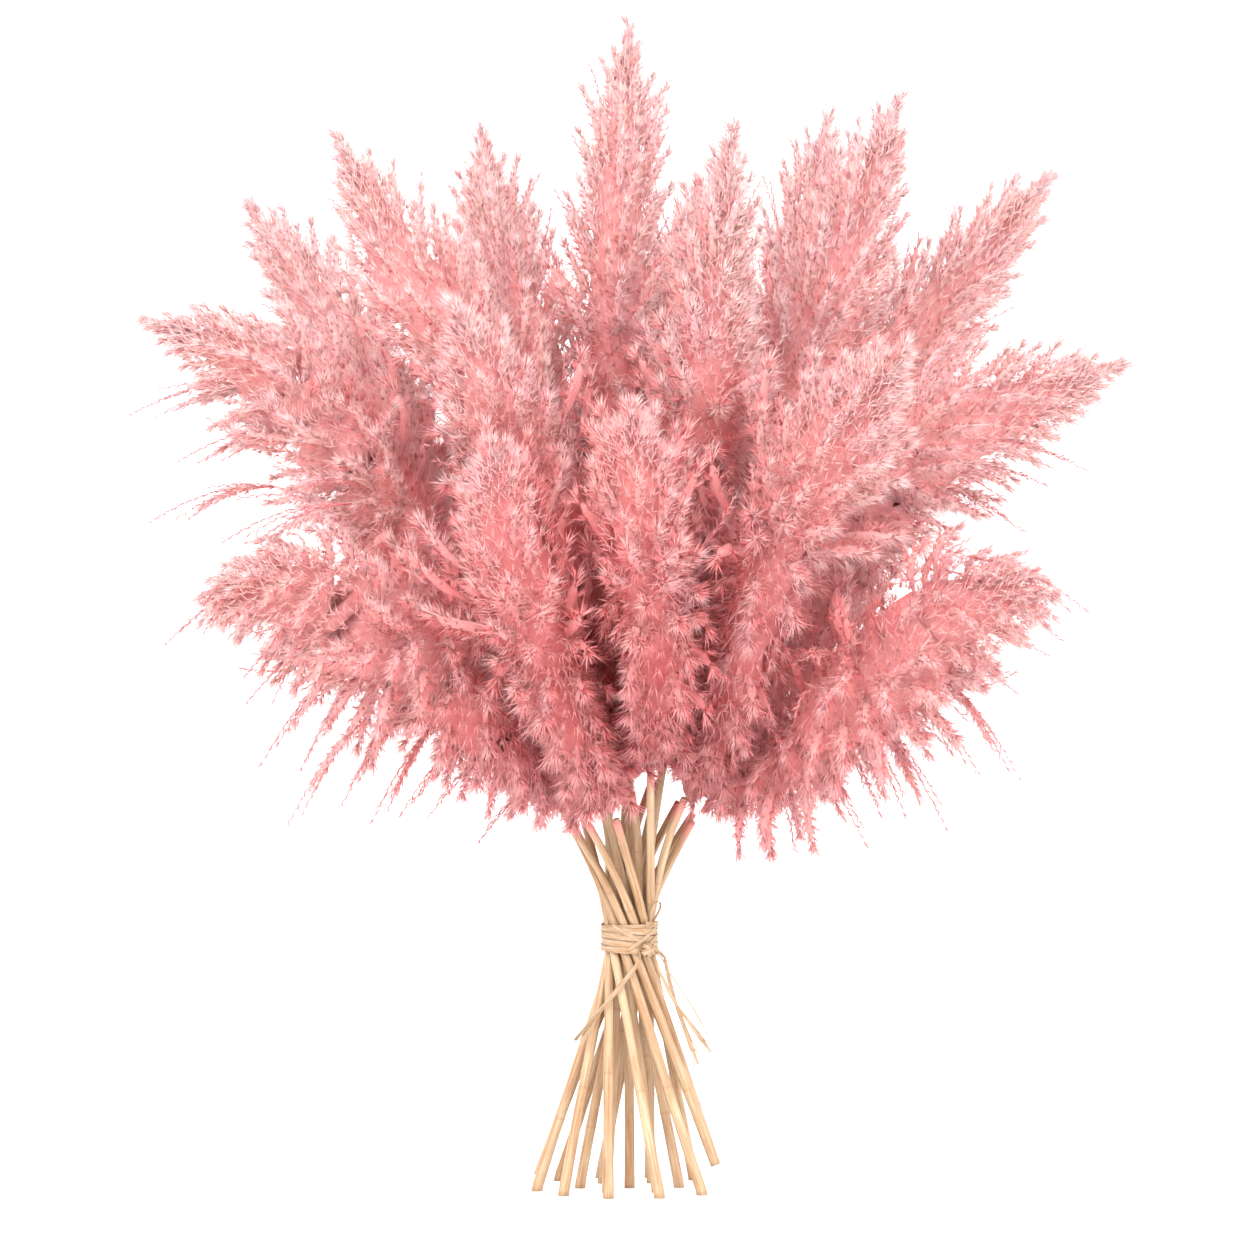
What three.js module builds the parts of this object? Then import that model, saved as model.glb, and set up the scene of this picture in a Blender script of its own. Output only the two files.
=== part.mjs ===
// A hand-tied bundle of dried, dyed pampas grass that stands on its own cut ends.
// Nineteen stalks cross in a spiral at a raffia tie: one in the middle, six round it and twelve
// round those. Below the tie the bare stems spread to a ring of feet, above it they carry the plumes.
// Millimetres, +Z up, the floor at z = 0 and the middle of the bundle's box over the origin.
import * as THREE from "three";
import { mergeVertices } from "three/addons/utils/BufferGeometryUtils.js";

// Stems
const FOOT_DIAMETER = 6.2;
const TIE_DIAMETER = 5.4;
const NECK_DIAMETER = 4.6;
const PACKING_GAP = 0.8; // between stems where the tie presses them together
const STEM_SIDES = 8;
const STEM_BANDS = 10;
const STEM_BEND = 0.4; // how far the bend above the tie reaches, as a share of its span
const NECK_SPREAD = 0.8; // how far a stem has fanned out at its neck, as a share of its full lean

// Tie
const TIE_HEIGHT = 150; // the middle of the wraps above the floor
const WRAP_TURNS = 5.5;
const WRAP_WIDTH = 3.0; // one turn of raffia, along the stems
const WRAP_THICKNESS = 1.2;
const WRAP_STEPS = 20; // facets in one turn
const CLEARANCE = 0.35; // between pieces that touch
const KNOT_SIZE = { across: 9, out: 4.4, tall: 8.5 };
const KNOT_ANGLE = -56; // degrees round the bundle, with -90 at the front
const LOOP_ANGLE = -38;
const LOOP_HEIGHT = 12;
const LOOP_WIDTH = 7;
const LOOP_STRAND = 1.4;

// Plumes
const HEAD_HEIGHT = 700; // the tallest tip above the floor
const PLUME_GAP = 3; // between the outsides of two plumes
const PLUME_SIDES = 12;
const PLUME_RINGS = 16;
const SHOULDER = 0.3; // share of a plume's length over which it swells, and mostly narrows again
const BEND_REACH = 0.38; // how far the bends of a plume's axis reach, as a share of its span
const HANG = 0.9; // how much further the branches reach where they hang straight down

// Where a ring's stems stand and which way their plumes set off. Lean is at the plume's neck.
const RINGS = {
  centre: { place: 0, feet: 0, lean: 2, turn: 90 },
  inner: { place: 1, feet: 30, lean: 15, turn: 15 },
  outer: { place: 2, feet: 58.5, lean: 33, turn: 0 },
};

// Each ring's stalks in order round the bundle. bare is the stem's height from the tie to its lowest
// branches. The plume's tip is reach from the upright axis and dip below the tallest tip, and pitch
// is how far it points above level. full is the plume's greatest radius and taper the share of its
// length that narrows to the tip. swing turns it off its even place, short lifts a foot off the floor.
const STALKS = {
  centre: [{ bare: 118, reach: 12, dip: 0, pitch: 88, full: 34 }],
  inner: [
    { bare: 94, reach: 170, dip: 40, pitch: 74, full: 38 },
    { bare: 106, reach: 118, dip: 88, pitch: 70, full: 36, swing: -6 },
    { bare: 100, reach: 138, dip: 82, pitch: 66, full: 37 },
    { bare: 90, reach: 180, dip: 72, pitch: 62, full: 43 },
    { bare: 88, reach: 150, dip: 176, pitch: 48, full: 43, swing: -28 },
    { bare: 116, reach: 106, dip: 72, pitch: 78, full: 44, taper: 0.6, swing: -10 },
  ],
  outer: [
    { bare: 74, reach: 298, dip: 206, pitch: 12, full: 40, short: 6 },
    { bare: 80, reach: 308, dip: 78, pitch: 48, full: 35 },
    { bare: 88, reach: 222, dip: 36, pitch: 68, full: 34, swing: -5 },
    { bare: 80, reach: 190, dip: 134, pitch: 34, full: 37 },
    { bare: 90, reach: 188, dip: 48, pitch: 72, full: 35 },
    { bare: 82, reach: 278, dip: 96, pitch: 50, full: 35 },
    { bare: 72, reach: 292, dip: 180, pitch: 6, full: 42, short: 15 },
    { bare: 70, reach: 290, dip: 362, pitch: -36, full: 42, short: 17 },
    { bare: 72, reach: 182, dip: 256, pitch: 46, full: 44, swing: 4 },
    { bare: 104, reach: 162, dip: 236, pitch: 56, full: 40 },
    { bare: 84, reach: 230, dip: 206, pitch: 22, full: 42, swing: 13 },
    { bare: 70, reach: 288, dip: 360, pitch: -36, full: 42 },
  ],
};

const radians = THREE.MathUtils.degToRad;
const ringPitch = TIE_DIAMETER + PACKING_GAP;

const strawMaterial = new THREE.MeshStandardMaterial({ color: 0xdcb980, roughness: 0.6 });
const raffiaMaterial = new THREE.MeshStandardMaterial({ color: 0xe3c08a, roughness: 0.7 });
const plumeMaterial = new THREE.MeshStandardMaterial({ color: 0xeba3a0, roughness: 0.95 });

// A point at a distance and an angle in degrees from the bundle's upright axis.
function around(radius, degrees, height = 0) {
  const angle = radians(degrees);
  return new THREE.Vector3(radius * Math.cos(angle), radius * Math.sin(angle), height);
}

// A unit vector that leans from upright towards an angle round the bundle.
function leaning(lean, degrees) {
  return around(Math.sin(radians(lean)), degrees, Math.cos(radians(lean)));
}

// A unit cylinder, sphere or box along +Y, as one closed surface with shared corners.
function closed(geometry) {
  geometry.deleteAttribute("normal");
  geometry.deleteAttribute("uv");
  return mergeVertices(geometry);
}

// Carries each corner of a unit shape to place(share along +Y, x, z).
function shaped(geometry, place) {
  const corners = geometry.getAttribute("position");
  for (let i = 0; i < corners.count; i += 1) {
    const point = place(corners.getY(i) + 0.5, corners.getX(i), corners.getZ(i));
    corners.setXYZ(i, point.x, point.y, point.z);
  }
  geometry.computeVertexNormals();
  return geometry;
}

// The directions across a curve at a share of its length: side x along = other.
function across(curve, share, upright) {
  const along = curve.getTangentAt(THREE.MathUtils.clamp(share, 0, 1));
  const side = new THREE.Vector3().crossVectors(along, upright).normalize();
  const other = new THREE.Vector3().crossVectors(side, along);
  return { along, side, other };
}

// One stalk's lines: straight from its foot through the tie, a bend out to the neck, and the
// plume's axis from there to its tip. The spiral makes each foot stand opposite its plume.
function stalkLines(ring, index, count, stalk) {
  const { place, feet, lean, turn } = RINGS[ring];
  const heading = turn + (360 / count) * index;
  const plumeHeading = heading + (stalk.swing ?? 0);
  const crossing = around(place * ringPitch, heading + 90, TIE_HEIGHT);
  const spread = Math.sqrt(Math.max(feet ** 2 - (place * ringPitch) ** 2, 0));
  const foot = crossing.clone().add(around(spread, heading + 180, -TIE_HEIGHT));
  const rise = crossing.clone().sub(foot).normalize();

  const out = Math.tan(radians(lean)) * stalk.bare * NECK_SPREAD;
  const neck = crossing.clone().add(around(out, heading, stalk.bare));
  const bend = neck.distanceTo(crossing) * STEM_BEND;
  const setOff = leaning(lean, plumeHeading);
  const upper = new THREE.CubicBezierCurve3(
    crossing,
    crossing.clone().addScaledVector(rise, bend),
    neck.clone().addScaledVector(setOff, -bend),
    neck,
  );

  const tip = around(stalk.reach, plumeHeading, HEAD_HEIGHT - stalk.dip);
  const arrive = leaning(90 - stalk.pitch, plumeHeading);
  const base = neck.clone().addScaledVector(setOff, CLEARANCE);
  const reach = base.distanceTo(tip) * BEND_REACH;
  const axis = new THREE.CubicBezierCurve3(
    base,
    base.clone().addScaledVector(setOff, reach),
    tip.clone().addScaledVector(arrive, -reach),
    tip,
  );

  const lift = stalk.short ?? 0;
  const start = foot.clone().addScaledVector(rise, lift / rise.z);
  return { start, crossing, upper, axis, heading, lift };
}

// The bare stem from its cut foot to the neck, slimmer towards the top. A foot that bears on the
// floor is trimmed level with it, and a short one is cut square.
function stemGeometry({ start, crossing, upper, heading, lift }) {
  const line = new THREE.CurvePath();
  line.add(new THREE.LineCurve3(start, crossing));
  line.add(upper);
  const length = line.getLength();
  const tieShare = start.distanceTo(crossing) / length;
  const upright = around(1, heading + 90);
  const unit = closed(new THREE.CylinderGeometry(1, 1, 1, STEM_SIDES, STEM_BANDS));
  return shaped(unit, (share, x, z) => {
    const { along, side, other } = across(line, share, upright);
    const diameter =
      share < tieShare
        ? THREE.MathUtils.lerp(FOOT_DIAMETER, TIE_DIAMETER, share / tieShare)
        : THREE.MathUtils.lerp(TIE_DIAMETER, NECK_DIAMETER, (share - tieShare) / (1 - tieShare));
    const point = line.getPointAt(share);
    point.addScaledVector(side, (x * diameter) / 2).addScaledVector(other, (z * diameter) / 2);
    if (share < 1e-6 && lift === 0) point.addScaledVector(along, -point.z / along.z);
    return point;
  });
}

// How far a plume may swell from a point on its axis before it is half-way to another stalk.
function roomTowards(point, direction, others) {
  let room = Infinity;
  for (const other of others) {
    const away = other.clone().sub(point);
    const facing = away.dot(direction);
    if (facing > 0) room = Math.min(room, away.lengthSq() / (2 * facing));
  }
  return room - PLUME_GAP / 2;
}

// The soft outside of one plume: a spindle round its axis that gives way to its neighbours.
function plumeGeometry({ axis, heading }, { full, taper = SHOULDER }, others) {
  const upright = around(1, heading + 90);
  const unit = closed(new THREE.SphereGeometry(0.5, PLUME_SIDES, PLUME_RINGS));
  return shaped(unit, (share, x, z) => {
    const { side, other } = across(axis, share, upright);
    const point = axis.getPointAt(THREE.MathUtils.clamp(share, 0, 1));
    if (Math.hypot(x, z) < 1e-6) return point;
    const direction = side.multiplyScalar(x).addScaledVector(other, z).normalize();
    const swell = Math.sin((Math.PI / 2) * Math.min(1, share / SHOULDER));
    const narrow = Math.sin((Math.PI / 2) * Math.min(1, (1 - share) / taper));
    const hanging = 1 + HANG * Math.max(0, -direction.z);
    const room = roomTowards(point, direction, others);
    return point.addScaledVector(direction, Math.min(full * swell * narrow * hanging, room));
  });
}

// Points along a stalk from the tie up, which its neighbours' plumes keep away from.
function stalkPoints({ upper, axis }) {
  return [...upper.getSpacedPoints(12), ...axis.getSpacedPoints(48)];
}

// The stems' outside at a height: the outer ring's lines make a waisted figure round the tie.
function bundleRadius(height) {
  const waist = RINGS.outer.place * ringPitch;
  const slope = Math.sqrt(RINGS.outer.feet ** 2 - waist ** 2) / TIE_HEIGHT;
  return Math.hypot(waist, slope * (height - TIE_HEIGHT)) + FOOT_DIAMETER / 2;
}

// The raffia wound round the stems: one flat strip in a close helix.
const wrapPitch = WRAP_WIDTH + CLEARANCE;
const wrapsTall = wrapPitch * WRAP_TURNS + WRAP_WIDTH;
const wrapsInside = bundleRadius(TIE_HEIGHT + wrapsTall / 2) + CLEARANCE;
const wrapsOutside = wrapsInside + WRAP_THICKNESS;
function wrapsGeometry() {
  const steps = Math.round(WRAP_TURNS * WRAP_STEPS);
  const unit = closed(new THREE.BoxGeometry(1, 1, 1, 1, steps, 1));
  return shaped(unit, (share, x, z) => {
    const height = TIE_HEIGHT - wrapsTall / 2 + WRAP_WIDTH / 2 + wrapPitch * WRAP_TURNS * share;
    const radius = wrapsInside + (x + 0.5) * WRAP_THICKNESS;
    return around(radius, KNOT_ANGLE + 360 * WRAP_TURNS * share, height + z * WRAP_WIDTH);
  });
}

// The knot: a small pressed lump that sits against the lower wraps.
function knotGeometry() {
  const middle = wrapsOutside + CLEARANCE + KNOT_SIZE.out / 2;
  const height = TIE_HEIGHT - wrapsTall / 2 + KNOT_SIZE.tall / 2;
  const unit = closed(new THREE.SphereGeometry(0.5, 12, 8));
  return shaped(unit, (share, x, z) => {
    const turn = THREE.MathUtils.radToDeg((z * KNOT_SIZE.across) / middle);
    const radius = middle + x * KNOT_SIZE.out;
    return around(radius, KNOT_ANGLE - turn, height + (share - 0.5) * KNOT_SIZE.tall);
  });
}

// A strand of raffia along a curve, as a plain round tube.
function strandGeometry(points, diameter, steps) {
  const curve = new THREE.CatmullRomCurve3(points);
  const section = new THREE.Shape().absarc(0, 0, diameter / 2, 0, 2 * Math.PI);
  const options = { steps, curveSegments: 4, bevelEnabled: false, extrudePath: curve };
  return closed(new THREE.ExtrudeGeometry(section, options));
}

// The little bow loop that stands up out of the wraps.
function loopGeometry() {
  const out = around(1, LOOP_ANGLE);
  const sideways = around(1, LOOP_ANGLE + 90);
  const top = TIE_HEIGHT + wrapsTall / 2 + CLEARANCE;
  const foot = around(wrapsOutside - WRAP_THICKNESS / 2, LOOP_ANGLE, top);
  const at = (aside, outwards, up) =>
    foot.clone().addScaledVector(sideways, aside).addScaledVector(out, outwards).setZ(top + up);
  const points = [
    at(-1.6, 0, 0.6),
    at(-LOOP_WIDTH * 0.35, 1.5, LOOP_HEIGHT * 0.5),
    at(-LOOP_WIDTH * 0.2, 3.2, LOOP_HEIGHT * 0.9),
    at(LOOP_WIDTH * 0.3, 4.2, LOOP_HEIGHT),
    at(LOOP_WIDTH * 0.55, 4, LOOP_HEIGHT * 0.7),
    at(LOOP_WIDTH * 0.4, 2.4, LOOP_HEIGHT * 0.35),
    at(1.8, 0.6, 0.6),
  ];
  return strandGeometry(points, LOOP_STRAND, 18);
}

// The loose ends of the raffia, as lines chosen by hand from the tie's middle.
const TAILS = {
  raffia_tail_front: {
    diameter: 2.4,
    points: [
      [6.8, -19.4, -11.8],
      [1.5, -20.4, -19],
      [-4.2, -21.4, -26],
      [-9.8, -22, -32.8],
      [-15, -21.8, -39],
      [-20, -20.8, -45],
      [-24.8, -18.8, -51],
      [-29, -16, -56],
      [-32.6, -12.8, -60.6],
    ],
  },
  raffia_tail_long: {
    diameter: 2.2,
    points: [
      [15.2, -15.2, -11.4],
      [18.2, -15, -19.6],
      [21.8, -14.2, -27.6],
      [25.6, -13, -35.4],
      [30.2, -11.8, -42.8],
      [35.4, -10.4, -50],
      [40.4, -9.2, -56.8],
      [45, -8.2, -63],
      [48.6, -7.4, -68],
    ],
  },
  raffia_tail_thread: {
    diameter: 0.9,
    points: [
      [19, -11.6, -11.2],
      [22.4, -10.4, -18],
      [26.8, -9, -25],
      [31.6, -7.6, -32],
      [36.4, -6.2, -39.4],
      [41, -5, -47.4],
      [45.4, -3.8, -55.6],
      [50, -2.6, -63.4],
    ],
  },
  raffia_tail_side: {
    diameter: 2,
    points: [
      [21, -5.6, -11.4],
      [22.8, -5.4, -21],
      [25.2, -5.6, -30.6],
      [28, -6.2, -40],
      [31.2, -7, -49.4],
      [34.6, -8, -58.6],
      [38, -9, -67.4],
      [41, -9.8, -75],
    ],
  },
};
function tailGeometry({ diameter, points }) {
  const fromTie = points.map(([x, y, z]) => new THREE.Vector3(x, y, z + TIE_HEIGHT));
  return strandGeometry(fromTie, diameter, 2 * points.length);
}

const bundle = new THREE.Group();
function addPiece(name, geometry, material) {
  const piece = new THREE.Mesh(geometry, material);
  piece.name = name;
  bundle.add(piece);
}

const stalks = Object.entries(STALKS).flatMap(([ring, members]) =>
  members.map((stalk, index) => ({
    name: members.length > 1 ? `${ring}_${String(index + 1).padStart(2, "0")}` : ring,
    stalk,
    lines: stalkLines(ring, index, members.length, stalk),
  })),
);
for (const { name, stalk, lines } of stalks) {
  const others = stalks.filter((s) => s.name !== name).flatMap((s) => stalkPoints(s.lines));
  addPiece(`stem_${name}`, stemGeometry(lines), strawMaterial);
  addPiece(`plume_${name}`, plumeGeometry(lines, stalk, others), plumeMaterial);
}
addPiece("raffia_wraps", wrapsGeometry(), raffiaMaterial);
addPiece("raffia_knot", knotGeometry(), raffiaMaterial);
addPiece("raffia_loop", loopGeometry(), raffiaMaterial);
for (const [name, tail] of Object.entries(TAILS)) {
  addPiece(name, tailGeometry(tail), raffiaMaterial);
}

// Stand the bundle with the middle of its box over the origin.
const middle = new THREE.Box3().setFromObject(bundle).getCenter(new THREE.Vector3());
bundle.position.set(-middle.x, -middle.y, 0);

export default bundle;
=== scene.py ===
import math
import random

import bmesh
import bpy
import numpy as np
from mathutils import Matrix, Vector
from mathutils.bvhtree import BVHTree


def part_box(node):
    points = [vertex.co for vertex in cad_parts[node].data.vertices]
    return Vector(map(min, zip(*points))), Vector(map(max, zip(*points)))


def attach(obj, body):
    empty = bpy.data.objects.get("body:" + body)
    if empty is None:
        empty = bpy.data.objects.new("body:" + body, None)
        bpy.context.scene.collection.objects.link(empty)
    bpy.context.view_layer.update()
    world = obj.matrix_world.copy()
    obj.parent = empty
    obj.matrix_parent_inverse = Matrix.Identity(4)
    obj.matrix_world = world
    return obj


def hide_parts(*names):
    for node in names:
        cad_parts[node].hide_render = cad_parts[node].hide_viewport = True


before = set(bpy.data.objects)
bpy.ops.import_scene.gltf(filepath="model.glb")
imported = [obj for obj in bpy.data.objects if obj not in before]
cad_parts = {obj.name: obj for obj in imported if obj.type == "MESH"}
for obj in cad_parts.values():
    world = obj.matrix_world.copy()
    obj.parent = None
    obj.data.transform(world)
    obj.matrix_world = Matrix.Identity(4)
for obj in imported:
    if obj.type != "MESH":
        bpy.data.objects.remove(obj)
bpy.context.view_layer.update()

# ------------------------------------------------------------------------------------------------
# The stems. Dried pampas culms about 6 mm thick at the foot and slimmer upwards: hard, straw
# coloured and finely ridged, with a joint every hand's breadth. They are cut with secateurs, tied
# in a spiral and trimmed to one level, so that the bundle stands on its cut ends.

MM = 0.001
STEM_SIDES = 18
STEM_CUTS = 59
STEM_JOINT_EVERY = 126 * MM
STEM_JOINT_SWELL = 0.16 * MM
STEM_FLUTES = 7
STEM_FLUTE_DEPTH = 0.05 * MM
STEM_WANDER = 0.5 * MM
RING_APART = 4 * MM  # the levels of a stem's corners in the frame are further apart than this
JOINT_MAP = 20 * MM  # the length of stem that the map round a joint covers
JOINT_REACH = 2.2 * MM  # how far above and below a joint its swelling goes
SIDE_START = 0.001  # the cut faces have the map's share 0 to themselves, and the sides start here
DYED_FROM = 0.93  # the share of the stem above which dye has run down on to it
STEM_LEVEL = np.array([0.31, 0.95, 0.02])
TRIM = 2 * MM  # a foot is made this much too long, and then cut level with the floor


class Shade:
    """A socket in a material. Arithmetic on it adds Math nodes, and add() makes any other node."""

    def __init__(self, tree, socket=None):
        self.tree, self.socket = tree, socket

    def add(self, kind, settings=None, inputs=None, output=0):
        node = self.tree.nodes.new(kind)
        for name, value in (settings or {}).items():
            if name == "stops":
                ramp = node.color_ramp
                while len(ramp.elements) < len(value):
                    ramp.elements.new(1.0)
                for element, (place, colour) in zip(ramp.elements, value):
                    element.position = place
                    element.color = (*colour, 1.0)
            else:
                setattr(node, name, value)
        for name, value in (inputs or {}).items():
            if isinstance(value, Shade):
                self.tree.links.new(value.socket, node.inputs[name])
            else:
                node.inputs[name].default_value = value
        return Shade(self.tree, node.outputs[output] if node.outputs else None)

    def math(self, operation, first, second=0.0):
        return self.add("ShaderNodeMath", {"operation": operation}, {0: first, 1: second})

    def __add__(self, other):
        return self.math("ADD", self, other)

    def __sub__(self, other):
        return self.math("SUBTRACT", self, other)

    def __rsub__(self, other):
        return self.math("SUBTRACT", other, self)

    def __mul__(self, other):
        return self.math("MULTIPLY", self, other)

    def __gt__(self, other):
        return self.math("GREATER_THAN", self, other)

    __radd__, __rmul__ = __add__, __mul__

    def sine(self):
        return self.math("SINE", self)

    def held(self):
        return self.add("ShaderNodeClamp", {}, {"Value": self})

    def ramp(self, *stops):
        return self.add("ShaderNodeValToRGB", {"stops": stops}, {"Fac": self})

    def times(self, other):
        settings = {"data_type": "RGBA", "blend_type": "MULTIPLY"}
        return self.add("ShaderNodeMix", settings, {0: 1.0, 6: self, 7: other}, output=2)

    def blend(self, first, second, how="MIX"):
        settings = {"data_type": "RGBA", "blend_type": how, "clamp_factor": True}
        return self.add("ShaderNodeMix", settings, {0: self, 6: first, 7: second}, output=2)


def new_material(name):
    material = bpy.data.materials.new(name)
    material.use_nodes = True
    material.node_tree.nodes.clear()
    return material, Shade(material.node_tree)


def finish_material(shade, surface):
    shade.add("ShaderNodeOutputMaterial", {}, {"Surface": surface})


def colour(red, green, blue):
    """A colour given as it looks, from 0 to 255, as the linear one that shaders take."""
    parts = [c / 255 for c in (red, green, blue)]
    return tuple(c / 12.92 if c <= 0.04045 else ((c + 0.055) / 1.055) ** 2.4 for c in parts)


WHITE = (1.0, 1.0, 1.0)


class Line:
    """A smooth line through points, read by shares of its length."""

    def __init__(self, points):
        points = np.asarray(points, float)
        ends = np.vstack([2 * points[0] - points[1], points, 2 * points[-1] - points[-2]])
        t = np.linspace(0, 1, 10, endpoint=False)[:, None]
        pieces = []
        for a, b, c, d in zip(ends[:-3], ends[1:-2], ends[2:-1], ends[3:]):
            slope, bow, swing = c - a, 2 * a - 5 * b + 4 * c - d, 3 * b - a - 3 * c + d
            pieces.append(0.5 * (2 * b + slope * t + bow * t**2 + swing * t**3))
        self.places = np.vstack([*pieces, points[-1:]])
        steps = np.linalg.norm(np.diff(self.places, axis=0), axis=1)
        self.length = steps.sum()
        self.shares = np.concatenate([[0], np.cumsum(steps)]) / self.length

    def at(self, share):
        return np.stack([np.interp(share, self.shares, self.places[:, i]) for i in range(3)], -1)

    def heading(self, share):
        ahead, behind = np.minimum(share + 0.02, 1), np.maximum(share - 0.02, 0)
        step = self.at(ahead) - self.at(behind)
        return step / np.linalg.norm(step, axis=-1, keepdims=True)


def lay_along(line, share, aside, other, level):
    """Places at shares of a line, moved sideways and the other way from it, side kept to level."""
    inside = np.clip(share, 0, 1)
    along = line.heading(inside)
    middle = line.at(inside) + along * ((share - inside) * line.length)[:, None]
    side = level - along * np.sum(along * level, axis=1)[:, None]
    side /= np.linalg.norm(side, axis=1, keepdims=True)
    return middle + side * aside[:, None] + np.cross(along, side) * other[:, None]


def corners_of(node):
    return np.array([v.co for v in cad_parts[node].data.vertices], float)


def places_of(mesh):
    places = np.empty(len(mesh.vertices) * 3, np.float32)
    mesh.vertices.foreach_get("co", places)
    return places.reshape(-1, 3).astype(float)


def set_places(mesh, places):
    mesh.vertices.foreach_set("co", places.astype(np.float32).ravel())


def stem_rings(node):
    """The middle and the radius of each ring of corners up a stem, from its foot."""
    corners = corners_of(node)
    corners = corners[np.argsort(corners[:, 2])]
    cuts = np.flatnonzero(np.diff(corners[:, 2]) > RING_APART) + 1
    rings = np.split(corners, cuts)
    middles = np.array([(ring.min(0) + ring.max(0)) / 2 for ring in rings])
    reaches = [np.linalg.norm(ring - middle, axis=1).max() for ring, middle in zip(rings, middles)]
    return middles, np.array(reaches)


def to_mesh(bm, name):
    mesh = bpy.data.meshes.new(name)
    bm.to_mesh(mesh)
    bm.free()
    mesh.shade_smooth()
    return mesh


def to_object(bm, name, material):
    """A finished piece, with its place in its mesh."""
    mesh = to_mesh(bm, name)
    mesh.materials.append(material)
    piece = bpy.data.objects.new(name, mesh)
    bpy.context.scene.collection.objects.link(piece)
    return piece


def straw_material():
    """Fine streaks and flutes along the stem, a darker line at each joint and dye at the top."""
    material, shade = new_material("dried_straw")
    place = shade.add("ShaderNodeUVMap", {"uv_map": "grain"})
    split = place.add("ShaderNodeSeparateXYZ", {}, {0: place})
    round_it, up_it = split, Shade(split.tree, split.socket.node.outputs[1])
    joint_map = place.add("ShaderNodeUVMap", {"uv_map": "joint"})
    from_joint = joint_map.add("ShaderNodeSeparateXYZ", {}, {0: joint_map})
    share = up_it.math("FRACT", up_it)
    long = place.add("ShaderNodeMapping", {}, {"Vector": place, "Scale": (17.0, 9.0, 1.0)})
    fibre = place.add(
        "ShaderNodeTexNoise", {}, {"Vector": long, "Scale": 1.0, "Detail": 6.0, "Roughness": 0.65}
    )
    broad = place.add("ShaderNodeMapping", {}, {"Vector": place, "Scale": (2.2, 4.0, 1.0)})
    blotch = place.add(
        "ShaderNodeTexNoise", {}, {"Vector": broad, "Scale": 1.0, "Detail": 4.0, "Roughness": 0.6}
    )
    flutes = (round_it * (2 * math.pi * STEM_FLUTES)).sine() * 0.5 + 0.5
    streaks = fibre.ramp(
        (0.28, colour(144, 110, 79)),
        (0.42, colour(173, 144, 113)),
        (0.58, colour(190, 166, 137)),
        (0.78, colour(207, 188, 162)),
    )
    patches = blotch.ramp((0.36, colour(214, 176, 138)), (0.6, colour(255, 252, 246)))
    toned = (flutes * 0.3 + 0.6).blend(streaks, patches, "MULTIPLY")
    line = from_joint.ramp(
        (0.42, WHITE),
        (0.49, colour(242, 224, 202)),
        (0.51, colour(218, 186, 152)),
        (0.55, WHITE),
    )
    jointed = (fibre * 0.9).blend(toned, line, "MULTIPLY")
    dyed = ((share - DYED_FROM) * 14.0).held().blend(jointed, (*colour(214, 128, 124), 1.0))
    cut = (1.0 - (share > 0.4 * SIDE_START)).blend(dyed, (*colour(226, 204, 166), 1.0))
    bumps = place.add(
        "ShaderNodeBump",
        {},
        {"Strength": 0.5, "Distance": 0.0003, "Height": fibre * 0.6 + flutes * 0.4},
    )
    surface = shade.add(
        "ShaderNodeBsdfPrincipled",
        {},
        {"Base Color": cut, "Roughness": fibre * 0.3 + 0.36, "Normal": bumps},
    )
    finish_material(shade, surface)
    return material


straw = straw_material()


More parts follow.
